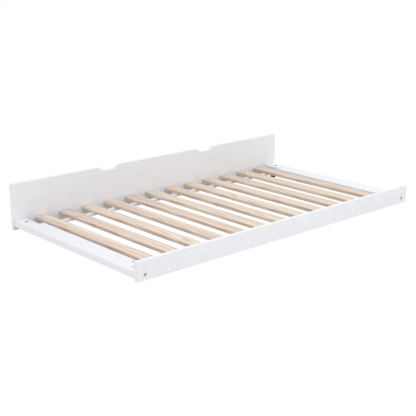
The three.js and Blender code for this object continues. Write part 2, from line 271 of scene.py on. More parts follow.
def handling_wear_group():
    """Where hands and tools have rubbed: fine scratches and faint smudges, and a broken mask on edges that the
    lacquer uses for worn edges and for painted shade on them.
    """
    inputs = {"Scratch scale": 40.0, "Edge": 0.0}
    tree, given, out = new_group("handling_wear", inputs, ("Scratch", "Smudge", "Edge wear"))
    vector, scale = given.outputs["Vector"], given.outputs["Scratch scale"]
    lines = noise(tree, stretched(tree, vector, (1.0, 14.0, 14.0)), scale, 2.0, 0.4, 0.6)
    patches = noise(tree, vector, 6.0, 3.0)
    broken = remap(tree, noise(tree, vector, 85.0, 4.0, 0.6), 0.42, 0.66)
    fill(tree, out, {
        "Scratch": maths(tree, "MULTIPLY", remap(tree, lines, 0.66, 0.72), remap(tree, patches, 0.5, 0.62)),
        "Smudge": remap(tree, noise(tree, vector, 11.0, 5.0, 0.65, 0.4), 0.45, 0.75),
        # Broken edge mask: the lacquer greys these edges for worn paint and for painted shade.
        "Edge wear": maths(tree, "MULTIPLY", broken, given.outputs["Edge"]),
    })
    return tree


def placed_group(tree, make, inputs):
    """Places a shader group in a material. The group is made once. Returns its outputs."""
    name = make.__name__.removesuffix("_group")
    group = bpy.data.node_groups.get(name) or make()
    return node(tree, "ShaderNodeGroup", inputs, node_tree=group).outputs


# Materials


def new_material(name):
    """A material with a bare Principled BSDF. Returns it, its tree, the shader and Object coordinates."""
    material = bpy.data.materials.new(name)
    material.use_nodes = True
    tree = material.node_tree
    vector = tree.nodes.new("ShaderNodeTexCoord").outputs["Object"]
    return material, tree, tree.nodes["Principled BSDF"], vector


def bump(tree, shader, height, strength, distance):
    """Feeds a height to the shader's normal."""
    made = node(tree, "ShaderNodeBump", {"Height": height, "Strength": strength, "Distance": distance})
    tree.links.new(made.outputs["Normal"], shader.inputs["Normal"])


def attribute(tree, name):
    """A value stored on the mesh."""
    return node(tree, "ShaderNodeAttribute", attribute_name=name).outputs["Fac"]


def lacquer_material(name, colours):
    """White satin lacquer: a faint orange peel, soft tone changes, broken greyer edges that are partly thin
    paint and partly painted shade on the rounded edges, and dark hole walls that are bare wood with painted
    shade.
    """
    material, tree, shader, vector = new_material(name)
    surface = placed_group(tree, fine_surface_group, {"Vector": vector, "Grain": 260.0})
    wear = placed_group(tree, handling_wear_group, {"Vector": vector, "Edge": attribute(tree, "edge_line")})
    brushed = noise(tree, stretched(tree, vector, (5.0, 40.0, 60.0)), 1.0, 5.0, 0.6)
    pale = tuple(0.98 * c for c in colours.lacquer)
    # Hole walls: bare wood, made far darker than raw wood as painted shade inside the holes.
    bare = tuple(0.35 * c for c in colours.pine_dark)
    tone = mix(tree, surface["Tone"], tuple(colours.lacquer), pale)
    tone = mix(tree, maths(tree, "MULTIPLY", remap(tree, brushed, 0.35, 0.7), 0.2), tone, pale)
    # Painted shade: broken greyer edges, partly worn thin lacquer and partly shade painted onto the rounded
    # edges.
    tone = mix(tree, maths(tree, "MULTIPLY", wear["Edge wear"], 0.6), tone, tuple(colours.primer))
    tone = mix(tree, maths(tree, "MULTIPLY", wear["Scratch"], 0.25), tone, (0.70, 0.70, 0.71))
    fill(tree, shader, {
        # Painted shade: the walls of the nut holes take the darkened bare-wood colour.
        "Base Color": mix(tree, attribute(tree, "bored"), tone, bare),
        "Roughness": remap(tree, wear["Smudge"], 0.0, 1.0, 0.36, 0.46),
        "IOR": 1.5,
    })
    bump(tree, shader, maths(tree, "MULTIPLY_ADD", brushed, 0.5, surface["Height"]), 0.012, 0.1 * MM)
    return material


def pine_material(name, colours):
    """Planed, bare pine: each slat has a tone of its own, streaks along it, and darker sawn ends."""
    material, tree, shader, vector = new_material(name)
    light, dark, pink = tuple(colours.pine_light), tuple(colours.pine_dark), tuple(colours.pine_pink)
    tone = attribute(tree, "slat_tone")
    grain = placed_group(tree, wood_grain_group, {"Vector": vector, "Tone": tone, "Rings": 44.0})
    ring, fibre = grain["Ring"], grain["Fibre"]
    streak = remap(tree, grain["Streak"], 0.32, 0.68)
    own = remap(tree, tone, 0.0, 1.0, 0.2, 0.8)
    share = maths(tree, "ADD", own, maths(tree, "SUBTRACT", streak, 0.5), clamp=True)
    wood = mix(tree, share, light, pink)
    wood = mix(tree, maths(tree, "MULTIPLY", streak, 0.22), wood, dark)
    wood = mix(tree, maths(tree, "MULTIPLY", ring, remap(tree, fibre, 0.2, 0.8, 0.34, 0.74)), wood, dark)
    wood = mix(tree, remap(tree, fibre, 0.5, 0.95, 0.0, 0.5), wood, dark)
    wood = mix(tree, maths(tree, "MULTIPLY", grain["Knot"], 0.7), wood, (0.30, 0.15, 0.07))
    normal = tree.nodes.new("ShaderNodeTexCoord").outputs["Normal"]
    facing = node(tree, "ShaderNodeSeparateXYZ", {0: normal}).outputs["Y"]
    end_grain = maths(tree, "GREATER_THAN", maths(tree, "ABSOLUTE", facing), 0.7)
    fill(tree, shader, {
        "Base Color": mix(tree, maths(tree, "MULTIPLY", end_grain, 0.5), wood, dark),
        "Roughness": remap(tree, ring, 0.0, 1.0, 0.72, 0.6),
        "Specular IOR Level": 0.35,
    })
    bump(tree, shader, maths(tree, "MULTIPLY_ADD", ring, 0.4, fibre), 0.35, 0.3 * MM)
    return material


def beech_material(name, colours):
    """Fine, even beech for the dowels."""
    material, tree, shader, vector = new_material(name)
    grain = placed_group(tree, wood_grain_group, {"Vector": vector, "Tone": 0.3, "Rings": 420.0})
    dark = tuple(0.7 * c for c in colours.beech)
    wood = mix(tree, maths(tree, "MULTIPLY", grain["Ring"], 0.5), tuple(colours.beech), dark)
    fill(tree, shader, {
        "Base Color": mix(tree, remap(tree, grain["Fibre"], 0.5, 0.9, 0.0, 0.5), wood, dark),
        "Roughness": remap(tree, grain["Fibre"], 0.0, 1.0, 0.55, 0.7),
    })
    bump(tree, shader, grain["Fibre"], 0.3, 0.2 * MM)
    return material


def plated_material(name, colours, metal, roughness):
    """Plated steel with fine turning marks, scratches and duller patches."""
    material, tree, shader, vector = new_material(name)
    base = tuple(getattr(colours, metal))
    surface = placed_group(tree, fine_surface_group, {"Vector": vector, "Grain": 2600.0})
    wear = placed_group(tree, handling_wear_group, {"Vector": vector, "Scratch scale": 320.0})
    tone = mix(tree, surface["Tone"], base, tuple(0.72 * c for c in base))
    fill(tree, shader, {
        "Base Color": mix(tree, maths(tree, "MULTIPLY", wear["Scratch"], 0.5), tone, (0.75, 0.74, 0.72)),
        "Metallic": 1.0,
        "Roughness": remap(tree, wear["Smudge"], 0.0, 1.0, roughness, roughness + 0.18),
    })
    bump(tree, shader, surface["Height"], 0.2, 0.05 * MM)
    return material


def black_material(name, colours, coating, grain, roughness, dust):
    """Black nylon or powder coat: fine texture, scuffs, and pale dust from the floor."""
    material, tree, shader, vector = new_material(name)
    base = tuple(getattr(colours, coating))
    surface = placed_group(tree, fine_surface_group, {"Vector": vector, "Grain": grain})
    wear = placed_group(tree, handling_wear_group, {"Vector": vector, "Scratch scale": 150.0})
    tone = mix(tree, surface["Tone"], base, tuple(1.6 * c for c in base))
    tone = mix(tree, maths(tree, "MULTIPLY", wear["Smudge"], dust), tone, (0.16, 0.155, 0.15))
    fill(tree, shader, {
        "Base Color": mix(tree, maths(tree, "MULTIPLY", wear["Scratch"], 0.5), tone, (0.12, 0.12, 0.12)),
        "Roughness": remap(tree, wear["Smudge"], 0.0, 1.0, roughness, roughness + 0.2),
    })
    bump(tree, shader, surface["Height"], 0.4, 0.08 * MM)
    return material


def floor_material(colours, glow):
    """A floor that the camera sees as plain white, without shadows.

    To all other light it is pale, with painted shade under the bed where its colour is dimmed, and it glows
    faintly outside it.
    """
    material, tree, shader, vector = new_material("studio_floor")
    place = node(tree, "ShaderNodeSeparateXYZ", {0: vector}).outputs
    beyond = [maths(tree, "SUBTRACT", maths(tree, "ABSOLUTE", place[i]), cad_box[1][i]) for i in (0, 1)]
    outside = remap(tree, maths(tree, "MAXIMUM", *beyond), -0.06, 0.02)
    pale = tuple(colours.floor)
    tone = mix(tree, noise(tree, vector, 2.0, 4.0), pale, tuple(0.985 * c for c in pale))
    fill(tree, shader, {
        # Painted shade: under the bed the floor's colour is dimmed to stand for the bed's shadow.
        "Base Color": mix(tree, outside, tuple(FLOOR_SHADE_UNDER_BED * c for c in pale), tone),
        "Emission Color": mix(tree, outside, (0.0, 0.0, 0.0), (1.0, 1.0, 1.0)),
        "Emission Strength": glow,
        "Roughness": 0.7,
    })
    seen = node(tree, "ShaderNodeEmission", {"Color": (1.0, 1.0, 1.0, 1.0), "Strength": 1.0})
    direct = node(tree, "ShaderNodeLightPath").outputs["Is Camera Ray"]
    both = node(tree, "ShaderNodeMixShader", {0: direct, 1: shader.outputs[0], 2: seen.outputs[0]})
    tree.links.new(both.outputs[0], tree.nodes["Material Output"].inputs["Surface"])
    return material


FINISHES = {
    "white_lacquer": ("satin white lacquer", lacquer_material),
    "slat_pine": ("planed pine", pine_material),
    "dowel_beech": ("fluted beech", beech_material),
    "bolt_brass": ("yellow plated steel", plated_material, "brass", 0.24),
    "zinc": ("zinc plated steel", plated_material, "zinc", 0.3),
    "wheel_black": ("black nylon", black_material, "nylon", 1500.0, 0.42, 0.25),
    "bracket_black": ("black powder coat", black_material, "powder", 1100.0, 0.38, 0.12),
}


def finish(slot):
    """The material for a slot in the record, made once."""
    name, make, *values = FINISHES[slot]
    return bpy.data.materials.get(name) or make(name, bpy.context.scene.trundle_finishes, *values)


# Meshes


def object_from(name, mesh):
    """A mesh object in the scene, at the origin."""
    made = bpy.data.objects.new(name, mesh)
    bpy.context.scene.collection.objects.link(made)
    return made


def object_of(name, shape):
    """A mesh object from a bmesh, with its faces turned outwards."""
    bmesh.ops.recalc_face_normals(shape, faces=shape.faces)
    mesh = bpy.data.meshes.new(name)
    shape.to_mesh(mesh)
    shape.free()
    return object_from(name, mesh)


def plain(made):
    """Replaces an object's mesh with what its modifiers make of it, and drops the modifiers."""
    graph = bpy.context.evaluated_depsgraph_get()
    evaluated = made.evaluated_get(graph)
    mesh = bpy.data.meshes.new_from_object(evaluated, preserve_all_data_layers=True, depsgraph=graph)
    made.modifiers.clear()
    old = made.data
    made.data = mesh
    mesh.name = made.name
    bpy.data.meshes.remove(old)
    return made


def round_edges(made, radius, segments=3, sharper_than=50):
    """Rounds the edges that are sharper than an angle in degrees."""
    bevel = made.modifiers.new("round edges", "BEVEL")
    bevel.width = radius
    bevel.segments = segments
    bevel.limit_method = "ANGLE"
    bevel.angle_limit = math.radians(sharper_than)
    bevel.use_clamp_overlap = True
    return plain(made)


def combine(made, others, operation):
    """Joins, cuts or intersects an object with others, and removes the others."""
    for other in others:
        boolean = made.modifiers.new("combine", "BOOLEAN")
        boolean.operation = operation
        boolean.solver = "EXACT"
        boolean.object = other
        plain(made)
        discard(other)
    return made


def carve(made, cutters):
    """Cuts other objects' shapes out of an object."""
    return combine(made, cutters, "DIFFERENCE")


def discard(made):
    """Deletes a helper object and its mesh."""
    mesh = made.data
    bpy.data.objects.remove(made)
    bpy.data.meshes.remove(mesh)


def smooth(made, sharp=55):
    """Smooth shading that keeps flat faces flat."""
    mesh = made.data
    mesh.polygons.foreach_set("use_smooth", [True] * len(mesh.polygons))
    mesh.set_sharp_from_angle(angle=math.radians(sharp))
    weighted = made.modifiers.new("flat faces", "WEIGHTED_NORMAL")
    weighted.keep_sharp = True
    return plain(made)


def mark_edges(made, radius):
    """Stores edge_line, which is 1 on the narrow faces that round an edge and 0 elsewhere."""
    shape = bmesh.new()
    shape.from_mesh(made.data)
    layer = shape.faces.layers.float.new("edge_line")
    for face in shape.faces:
        face[layer] = float(min(edge.calc_length() for edge in face.edges) < 0.7 * radius)
    shape.to_mesh(made.data)
    shape.free()
    return made


def mark_bores(made, places, radius, top):
    """Stores bored, which is 1 on the walls of upright holes at (x, y) places and 0 elsewhere; the lacquer
    paints these walls as bare wood darkened with painted shade.
    """
    layer = made.data.attributes.new("bored", "FLOAT", "FACE")
    for face, value in zip(made.data.polygons, layer.data):
        near = any(math.hypot(face.center.x - x, face.center.y - y) < radius + MM / 4 for x, y in places)
        value.value = float(near and face.center.z < top - 0.3 * MM)
    return made


def box_shape(low, high):
    """A bmesh box between two corners."""
    shape = bmesh.new()
    bmesh.ops.create_cube(shape, size=1.0)
    low, high = Vector(low), Vector(high)
    bmesh.ops.scale(shape, vec=high - low, verts=shape.verts)
    bmesh.ops.translate(shape, vec=(low + high) / 2, verts=shape.verts)
    return shape


def prism_shape(outline, low, high, axis, shape=None):
    """A bmesh prism, or one more in a given bmesh: (u, v) points given depth along an axis."""
    shape = bmesh.new() if shape is None else shape
    places = {"x": lambda u, v, d: (d, u, v), "y": lambda u, v, d: (u, d, v), "z": lambda u, v, d: (u, v, d)}
    place = places[axis]
    face = shape.faces.new([shape.verts.new(place(u, v, low)) for u, v in outline])
    swept = bmesh.ops.extrude_face_region(shape, geom=[face])
    moved = [item for item in swept["geom"] if isinstance(item, bmesh.types.BMVert)]
    bmesh.ops.translate(shape, vec=place(0.0, 0.0, high - low), verts=moved)
    return shape


def quarter(steps):
    """Angles from 0 to a quarter turn, in equal steps."""
    return [i / steps * math.pi / 2 for i in range(steps + 1)]


def mirrored(profile):
    """A profile of (radius, height) points and its mirror image across height 0."""
    return profile + [(r, -h) for r, h in reversed(profile)]


def turned_shape(profile, sides, axis="Z"):
    """A bmesh turned from (radius, height) points that start and end on the axis, or form a ring."""
    shape = bmesh.new()
    rings = []
    for radius, height in profile:
        turns = [2 * math.pi * i / sides for i in range(1 if radius < 1e-9 else sides)]
        rings.append([shape.verts.new((radius * math.cos(t), radius * math.sin(t), height)) for t in turns])
    for lower, upper in zip(rings, rings[1:]):
        for i in range(sides):
            j = (i + 1) % sides
            corners = [(lower, i), (lower, j), (upper, j), (upper, i)]
            shape.faces.new(list(dict.fromkeys(ring[k % len(ring)] for ring, k in corners)))
    bmesh.ops.remove_doubles(shape, verts=shape.verts, dist=1e-7)
    if axis == "X":
        bmesh.ops.transform(shape, matrix=Matrix.Rotation(math.pi / 2, 4, "Y"), verts=shape.verts)
    if axis == "Y":
        bmesh.ops.transform(shape, matrix=Matrix.Rotation(-math.pi / 2, 4, "X"), verts=shape.verts)
    return shape


def rod(name, radius, start, end, sides=40):
    """A plain round rod between two points on a line along an axis, used to cut holes."""
    start, end = Vector(start), Vector(end)
    span = end - start
    axis = "XYZ"[max(range(3), key=lambda i: abs(span[i]))]
    shape = turned_shape([(0, 0), (radius, 0), (radius, span.length), (0, span.length)], sides, axis)
    if span["XYZ".index(axis)] < 0:
        start = end
    bmesh.ops.translate(shape, vec=start, verts=shape.verts)
    return object_of(name, shape)


def rounded_outline(low, high, radius, steps=6):
    """Points of a rectangle with round corners."""
    points = []
    corners = ((high[0] - radius, high[1] - radius), (low[0] + radius, high[1] - radius),
               (low[0] + radius, low[1] + radius), (high[0] - radius, low[1] + radius))
    for turns, (x, y) in enumerate(corners):
        for i in range(steps + 1):
            angle = (turns + i / steps) * math.pi / 2
            points.append((x + radius * math.cos(angle), y + radius * math.sin(angle)))
    return points


def hand_over(made, slot, body=BODY, nodes=(), material=True):
    """Gives a finished piece the material of its slot and its body, and hides the CAD nodes that it stands
    for.
    """
    if material:
        made.data.materials.clear()
        made.data.materials.append(finish(slot))
    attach(made, body)
    if nodes:
        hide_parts(*nodes)


# Geometry Nodes


def geometry_tree(name, inputs):
    """A Geometry Nodes tree with a Geometry input and output and the named inputs."""
    inputs = {"Geometry": "Geometry", "Piece": "Object", **inputs, "Material": "Material"}
    return new_tree(name, "GeometryNodeTree", inputs, {"Geometry": "Geometry"})


def copies(tree, given, points, turn):
    """The piece at each point, turned about Z."""
    piece = node(tree, "GeometryNodeObjectInfo", {"Object": given.outputs["Piece"], "As Instance": True})
    turned = node(tree, "ShaderNodeCombineXYZ", {"Z": turn}).outputs[0]
    inputs = {"Points": points, "Instance": piece.outputs["Geometry"], "Rotation": turned}
    return node(tree, "GeometryNodeInstanceOnPoints", inputs).outputs[0]


def finish_tree(tree, given, out, geometry):
    """Ends a tree: instances made real, then given the material."""
    real = node(tree, "GeometryNodeRealizeInstances", {"Geometry": geometry}).outputs[0]
    inputs = {"Geometry": real, "Material": given.outputs["Material"]}
    fill(tree, out, {"Geometry": node(tree, "GeometryNodeSetMaterial", inputs).outputs[0]})
    return tree


def row_tree():
    """A row of copies along X, each flipped end for end or not, and each with a tone of its own."""
    tree, given, out = geometry_tree("row_of_boards", {"Count": 12, "Pitch": 0.15, "Seed": 0})
    count, pitch, seed = (given.outputs[name] for name in ("Count", "Pitch", "Seed"))
    last = maths(tree, "SUBTRACT", count, 1.0)
    half = maths(tree, "MULTIPLY", maths(tree, "MULTIPLY", last, pitch), -0.5)
    start = node(tree, "ShaderNodeCombineXYZ", {"X": half}).outputs[0]
    step = node(tree, "ShaderNodeCombineXYZ", {"X": pitch}).outputs[0]
    line = {"Count": count, "Start Location": start, "Offset": step}
    line = node(tree, "GeometryNodeMeshLine", line, mode="OFFSET")
    flips = node(tree, "FunctionNodeRandomValue", {"Seed": seed}, data_type="INT")
    fill(tree, flips, {4: 0, 5: 1})
    turn = maths(tree, "MULTIPLY", flips.outputs[2], math.pi)
    placed = copies(tree, given, line.outputs["Mesh"], turn)
    chance = {"Seed": maths(tree, "ADD", seed, 7.0)}
    tone = node(tree, "FunctionNodeRandomValue", chance, data_type="FLOAT")
    stored = {"Geometry": placed, "Name": "slat_tone", "Value": tone.outputs[1]}
    stored = node(tree, "GeometryNodeStoreNamedAttribute", stored, data_type="FLOAT", domain="INSTANCE")
    return finish_tree(tree, given, out, stored.outputs[0])


def grid_tree():
    """A grid of copies at one height. The rear row or the left column can face the other way."""
    tree, given, out = geometry_tree("grid_of_fixings", {
        "Columns": 2, "Rows": 2, "Length": 1.0, "Depth": 1.0, "Height": 0.0,
        "Turn rear row": 0.0, "Turn left column": 0.0, "Random turn": 0.0, "Seed": 0,
    })
    ends = {"Size X": "Length", "Size Y": "Depth", "Vertices X": "Columns", "Vertices Y": "Rows"}
    grid = node(tree, "GeometryNodeMeshGrid", {key: given.outputs[name] for key, name in ends.items()})
    lift = node(tree, "ShaderNodeCombineXYZ", {"Z": given.outputs["Height"]}).outputs[0]
    raised = node(tree, "GeometryNodeSetPosition", {"Geometry": grid.outputs["Mesh"], "Offset": lift})
    place = tree.nodes.new("GeometryNodeInputPosition").outputs[0]
    place = node(tree, "ShaderNodeSeparateXYZ", {0: place}).outputs
    rear = maths(tree, "GREATER_THAN", place["Y"], 0.0)
    left = maths(tree, "LESS_THAN", place["X"], 0.0)
    rear = maths(tree, "MULTIPLY", rear, given.outputs["Turn rear row"])
    left = maths(tree, "MULTIPLY", left, given.outputs["Turn left column"])
    half_turn = maths(tree, "MULTIPLY", maths(tree, "ADD", rear, left), math.pi)
    chance = node(tree, "FunctionNodeRandomValue", {"Seed": given.outputs["Seed"]}, data_type="FLOAT")
    spin = maths(tree, "MULTIPLY", chance.outputs[1], given.outputs["Random turn"])
    spin = maths(tree, "MULTIPLY", spin, 2 * math.pi)
    placed = copies(tree, given, raised.outputs[0], maths(tree, "ADD", half_turn, spin))
    return finish_tree(tree, given, out, placed)


def repeated(name, tree_name, piece, slot, **inputs):
    """Runs a tree on an empty mesh and returns the copies as one plain mesh. The single piece is deleted."""
    makers = {"row_of_boards": row_tree, "grid_of_fixings": grid_tree}
    tree = bpy.data.node_groups.get(tree_name) or makers[tree_name]()
    made = object_from(name, bpy.data.meshes.new(name))
    modifier = made.modifiers.new("copies", "NODES")
    modifier.node_group = tree
    given = {"Piece": piece, "Material": finish(slot), **{k.replace("_", " "): v for k, v in inputs.items()}}
    for item in tree.interface.items_tree:
        if item.in_out == "INPUT" and item.name in given:
            modifier[item.identifier] = given[item.name]
    plain(made)
    discard(piece)
    return made


def fit(name, tree_name, piece, slot, nodes=(), **inputs):
    """Repeats a piece and hands the copies over."""
    hand_over(repeated(name, tree_name, piece, slot, **inputs), slot, nodes=nodes, material=False)


def at_corners(part):
    """The CAD nodes of a part that is fitted at each corner."""
    return [f"{corner}_{part}" for corner in CORNERS]


# Where things are


def span(first, *others):
    """The box round several CAD nodes, as its lowest and highest corner."""
    boxes = [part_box(name) for name in (first, *others)]
    low = Vector([min(box[0][i] for box in boxes) for i in range(3)])
    high = Vector([max(box[1][i] for box in boxes) for i in range(3)])
    return low, high


def middle(name):
    """The middle of a CAD node's box."""
    low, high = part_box(name)
    return (low + high) / 2


def bolt_places(side):
    """The axis points (x, z) of the two bolts on the front (-1) or the rear (+1)."""
    row = "front" if side < 0 else "rear"
    return [(middle(f"{row}_{end}_bolt").x, middle(f"{row}_{end}_bolt").z) for end in ("left", "right")]


# Pieces


def notch_outline(sizes, centre, top):
    """One finger notch from right to left: a curve down, a flat floor, and a curve up."""
    steps = 18
    points = []
    half = sizes.notch_floor / 2 + sizes.notch_shoulder
    for i in range(steps + 1):
        share = i / steps
        drop = sizes.notch_depth * (1 - math.cos(math.pi * share)) / 2
        points.append((half - sizes.notch_shoulder * share, top - drop))
    left = [(-u, v) for u, v in reversed(points)]
    return [(centre + u, v) for u, v in points + left]


def bolt_seats(side, face, inner):
    """Cutters for the bolt holes through a long board and the shallow seats for the bolt heads."""
    cutters = []
    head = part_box("rear_left_bolt")
    radius = (head[1].x - head[0].x) / 2 + BOLT_HEAD_SLACK
    outside = face + side * OVERCUT / 2
    for x, z in bolt_places(side):
        cutters.append(rod("seat", radius, (x, face - side * BOLT_SEAT_DEPTH, z), (x, outside, z), 56))
        cutters.append(rod("bore", BOLT_BORE, (x, inner - side * MM, z), (x, outside, z), 24))
    return cutters


def long_board(name, shape, side, sizes):
    """Finishes a long board: round edges, bolt seats and a material."""
    made = round_edges(object_of(f"{name}_board", shape), sizes.board_edge, 4)
    low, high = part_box(name)
    face, inner = (low.y, high.y) if side < 0 else (high.y, low.y)
    carve(made, bolt_seats(side, face, inner))
    round_edges(made, HOLE_EDGE, 2, 60)
    hand_over(mark_edges(smooth(made), sizes.board_edge), "white_lacquer", nodes=[name])


class TRUNDLE_OT_long_boards(bpy.types.Operator):
    """Build the tall front panel with its finger notches, and the low rear rail"""

    bl_idname = "trundle.long_boards"
    bl_label = "Front Panel and Rear Rail"

    def execute(self, context):
        sizes = context.scene.trundle_sizes
        low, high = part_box("front_panel")
        outline = [(high.x, low.z), (high.x, high.z)]
        for centre in (sizes.notch_offset, -sizes.notch_offset):
            outline += notch_outline(sizes, centre, high.z)
        outline += [(low.x, high.z), (low.x, low.z)]
        long_board("front_panel", prism_shape(outline, low.y, high.y, "y"), -1, sizes)
        long_board("rear_rail", box_shape(*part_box("rear_rail")), 1, sizes)
        return {"FINISHED"}


def end_board_outline(low, high, end, sizes):
    """An end board from above, with a rebate in each inner corner. `end` is -1 left and +1 right."""
    outer, inner = (high.x, low.x) if end > 0 else (low.x, high.x)
    step = end * (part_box("rear_batten")[1].x + GAP)
    reach = high.y + GAP - sizes.rebate_length
    half = [(outer, high.y), (step, high.y), (step, reach), (inner, reach)]
    return half + [(x, -y) for x, y in reversed(half)]


class TRUNDLE_OT_end_boards(bpy.types.Operator):
    """Build the two flat end boards with their barrel-nut holes"""

    bl_idname = "trundle.end_boards"
    bl_label = "End Boards"

    def execute(self, context):
        sizes = context.scene.trundle_sizes
        for end, side in (("left", -1), ("right", 1)):
            name = f"{end}_end_board"
            low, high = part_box(name)
            shape = prism_shape(end_board_outline(low, high, side, sizes), low.z, high.z, "z")
            made = round_edges(object_of(f"{name}_flat", shape), sizes.board_edge, 4)
            cutters, places = [], []
            for row in ("front", "rear"):
                x, y, _ = middle(f"{row}_{end}_barrel_nut")
                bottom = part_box(f"{row}_{end}_barrel_nut")[0].z - MM
                top = high.z + OVERCUT
                cutters.append(rod("hole", sizes.nut_radius, (x, y, bottom), (x, y, top), 48))
                places.append((x, y))
            carve(made, cutters)
            round_edges(made, NUT_HOLE_EDGE, 2, 60)
            mark_edges(smooth(made), sizes.board_edge)
            hand_over(mark_bores(made, places, sizes.nut_radius, high.z), "white_lacquer", nodes=[name])
        return {"FINISHED"}


class TRUNDLE_OT_battens(bpy.types.Operator):
    """Run the two battens from end board to end board, under the slats"""

    bl_idname = "trundle.battens"
    bl_label = "Battens"

    def execute(self, context):
        sizes = context.scene.trundle_sizes
        for name in ("front_batten", "rear_batten"):
            made = round_edges(object_of(f"{name}_strip", box_shape(*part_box(name))), sizes.batten_edge, 3)
            hand_over(mark_edges(smooth(made), sizes.batten_edge), "white_lacquer", nodes=[name])
        return {"FINISHED"}


class TRUNDLE_OT_slats(bpy.types.Operator):
    """Lay the row of pine slats"""

    bl_idname = "trundle.slats"
    bl_label = "Slats"

    def execute(self, context):
        sizes = context.scene.trundle_sizes
        low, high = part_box(SLATS[0])
        half = (high.x - low.x) / 2
        shape = box_shape((-half, low.y, low.z), (half, high.y, high.z))
        slat = round_edges(object_of("single_slat", shape), sizes.slat_edge, 4)
        mark_edges(smooth(slat), sizes.slat_edge)
        pitch = middle(SLATS[1]).x - middle(SLATS[0]).x
        fit("pine_slats", "row_of_boards", slat, "slat_pine", SLATS, Count=len(SLATS), Pitch=pitch, Seed=5)
        return {"FINISHED"}


def bolt_shape():
    """A corner bolt along Y, with the outside of its head at the origin and its tip towards +Y."""
    low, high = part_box("front_left_bolt")
    radius = (high.x - low.x) / 2
    head, shank, reach = 2.4 * MM, 3.0 * MM, high.y - low.y
    soft = 0.7 * MM
    profile = [(0, 0), (radius - 2.2 * soft, 0)]
    for angle in quarter(5)[1:]:
        profile.append((radius - soft + soft * math.sin(angle), soft - soft * math.cos(angle)))
    profile += [(radius, head - 0.3 * MM), (radius - 0.3 * MM, head), (shank, head)]
    profile += [(shank, reach - MM), (shank - MM, reach), (0, reach)]
    return turned_shape(profile, 64, "Y")


class TRUNDLE_OT_bolts(bpy.types.Operator):
    """Fit the corner bolts and the barrel nuts that they screw into"""

    bl_idname = "trundle.bolts"
    bl_label = "Bolts and Barrel Nuts"

    def execute(self, context):
        low, high = span(*at_corners("bolt"))
        place = middle("rear_right_bolt")
        across, deep, tip = 2.9 * MM, 1.7 * MM, 2.0 * MM
        hexagon = [(0, -MM), (across, -MM), (across, deep), (0, tip)]
        socket = object_of("socket", turned_shape(hexagon, 6, "Y"))
        bolt = carve(object_of("single_bolt", bolt_shape()), [socket])
        smooth(round_edges(bolt, 0.15 * MM, 2, 60), 40)
        fit(
            "corner_bolts", "grid_of_fixings", bolt, "bolt_brass", at_corners("bolt"), Length=2 * place.x,
            Depth=high.y - low.y, Height=place.z, Turn_rear_row=1.0,
        )
        self.fit_nuts()
        return {"FINISHED"}

    def fit_nuts(self):
        """The barrel nuts stand in the end boards' holes, slot upwards."""
        nut = middle("rear_right_barrel_nut")
        low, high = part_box("rear_right_barrel_nut")
        radius, half = (high.x - low.x) / 2, (high.z - low.z) / 2
        rim, slot_half, slot_depth = 0.5 * MM, 0.8 * MM, 1.6 * MM
        profile = mirrored([(0, -half), (radius - rim, -half), (radius, rim - half)])
        made = object_of("single_nut", turned_shape(profile, 48))
        slot = box_shape((-2 * radius, -slot_half, half - slot_depth), (2 * radius, slot_half, 2 * half))
        bore = rod("bore", BOLT_BORE, (0, -2 * radius, 0), (0, 2 * radius, 0), 32)
        smooth(carve(made, [object_of("slot", slot), bore]), 40)
        fit(
            "barrel_nuts", "grid_of_fixings", made, "zinc", at_corners("barrel_nut"), Length=2 * nut.x,
            Depth=2 * nut.y, Height=nut.z,
        )


def cross_recess(arm, width, low, high):
    """Two crossed bars that cut the recess in a screw's head."""
    pairs = ((arm, width), (width, arm))
    return [object_of("bar", box_shape((-a, -b, low), (a, b, high))) for a, b in pairs]


def countersunk_screw(radius):
    """A countersunk screw, its flat head's top at height 0, with a cross recess."""
    rim, shank = 0.25 * MM, 0.5 * radius
    profile = [(0, 0), (radius - rim, 0), (radius, -rim), (shank, -rim - 0.55 * radius)]
    profile += [(shank, -4 * radius), (0, -4.6 * radius)]
    made = object_of("single_screw", turned_shape(profile, 28))
    return smooth(carve(made, cross_recess(0.62 * radius, 0.16 * radius, -0.9 * MM, MM)), 40)


class TRUNDLE_OT_slat_screws(bpy.types.Operator):
    """Drive a countersunk screw through each slat into the batten below, at both ends"""

    bl_idname = "trundle.slat_screws"
    bl_label = "Slat Screws"

    def execute(self, context):
        sizes = context.scene.trundle_sizes
        proud = 0.1 * MM
        reach = middle(SLATS[-1]).x - middle(SLATS[0]).x
        fit(
            "slat_screws", "grid_of_fixings", countersunk_screw(sizes.screw_head / 2), "bolt_brass",
            Columns=len(SLATS), Rows=2, Length=reach, Depth=2 * middle("rear_batten").y,
            Height=span(*SLATS)[1].z + proud, Random_turn=1.0, Seed=3,
        )
        return {"FINISHED"}


def wheel_shape(radius, half, bore):
    """A wheel turned about X, with a crowned tread and faces dished between the hub and the tread."""
    hub, web = bore + 3.4 * MM, radius - 4.0 * MM
    soft, dish, crown = 0.5 * MM, 1.2 * MM, 1.8 * MM
    profile = [(bore, -half), (hub - soft, -half), (hub, soft - half), (hub + 0.4 * MM, dish - half)]
    profile += [(web - 0.4 * MM, dish - half), (web, 0.9 * MM - half), (web + 0.6 * MM, 0.6 * MM - half)]
    for angle in quarter(8):
        edge = soft - half + crown * (1 - math.cos(angle))
        profile.append((radius - crown * (1 - math.sin(angle)), edge))
    return turned_shape(mirrored(profile) + [profile[0]], 72, "X")


